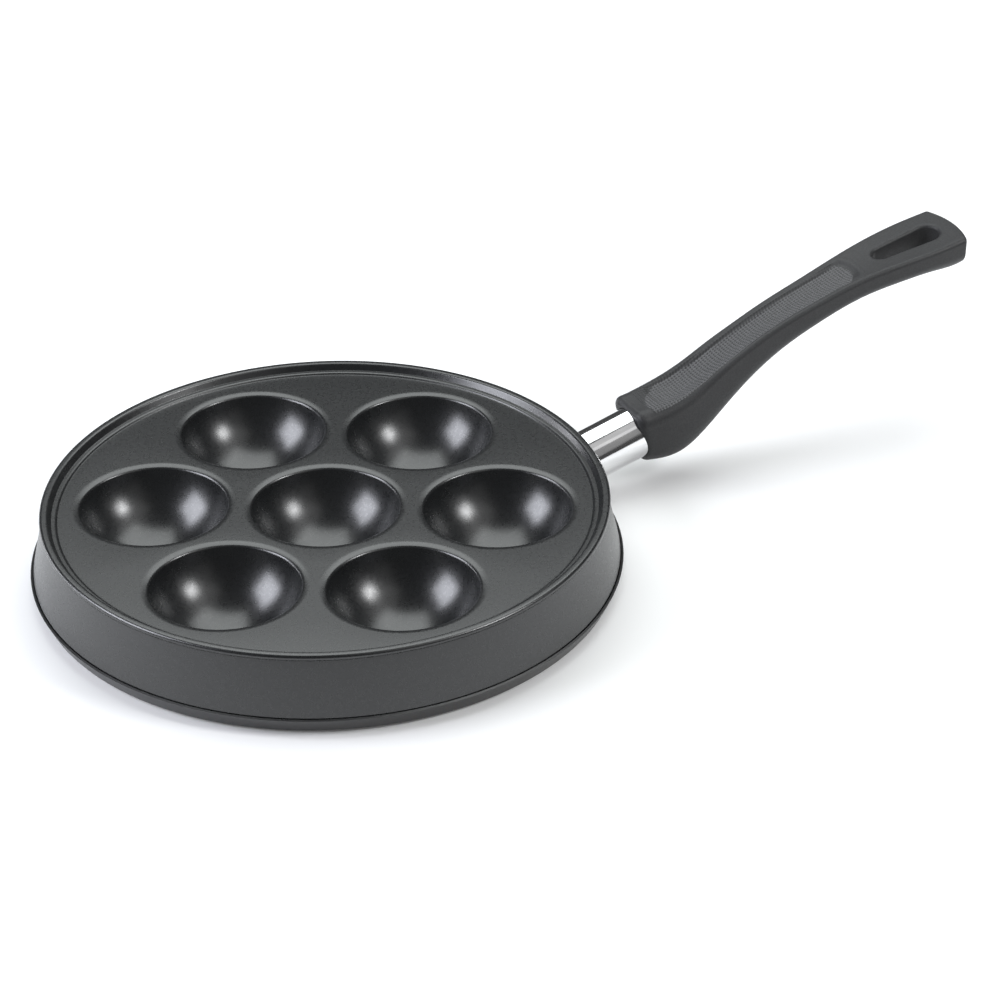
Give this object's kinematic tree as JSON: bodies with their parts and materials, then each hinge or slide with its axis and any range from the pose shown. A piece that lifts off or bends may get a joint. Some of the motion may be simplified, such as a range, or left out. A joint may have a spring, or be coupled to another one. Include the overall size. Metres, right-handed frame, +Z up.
{
  "type": "aebleskiver pan",
  "caption": "Round stovetop pan with ball-shaped cups pressed in its top plate, a skirted body and an arched moulded handle with a hanging slot.",
  "frame": {"origin": "centre of the round base, on the surface that the pan stands on", "axes": "+Z up out of the cups, +X along the handle, away from the pan's centre"},
  "size_m": [0.3669, 0.2092, 0.0712],
  "materials": {
    "nonstick_coating": "satin dark grey non-stick coating on pressed steel sheet",
    "base_coating": "satin dark grey coating on pressed steel sheet",
    "core_aluminium": "plain rolled aluminium disc, hidden between plate and base",
    "polished_steel": "mirror-polished stainless steel tube",
    "fixing_steel": "plain zinc-plated steel",
    "grip_plastic": "matt charcoal phenolic moulding with a fine pebbled thumb panel"
  },
  "bodies": {
    "root": {"cup_plate": "nonstick_coating", "skirt": "nonstick_coating", "base_cap": "base_coating", "heat_spreader": "core_aluminium", "handle_bracket": "fixing_steel", "bracket_rivets": "fixing_steel", "bracket_nut": "fixing_steel", "ferrule": "polished_steel", "tie_screw": "fixing_steel", "lock_washer": "fixing_steel", "grip": "grip_plastic"}
  },
  "joints": []
}
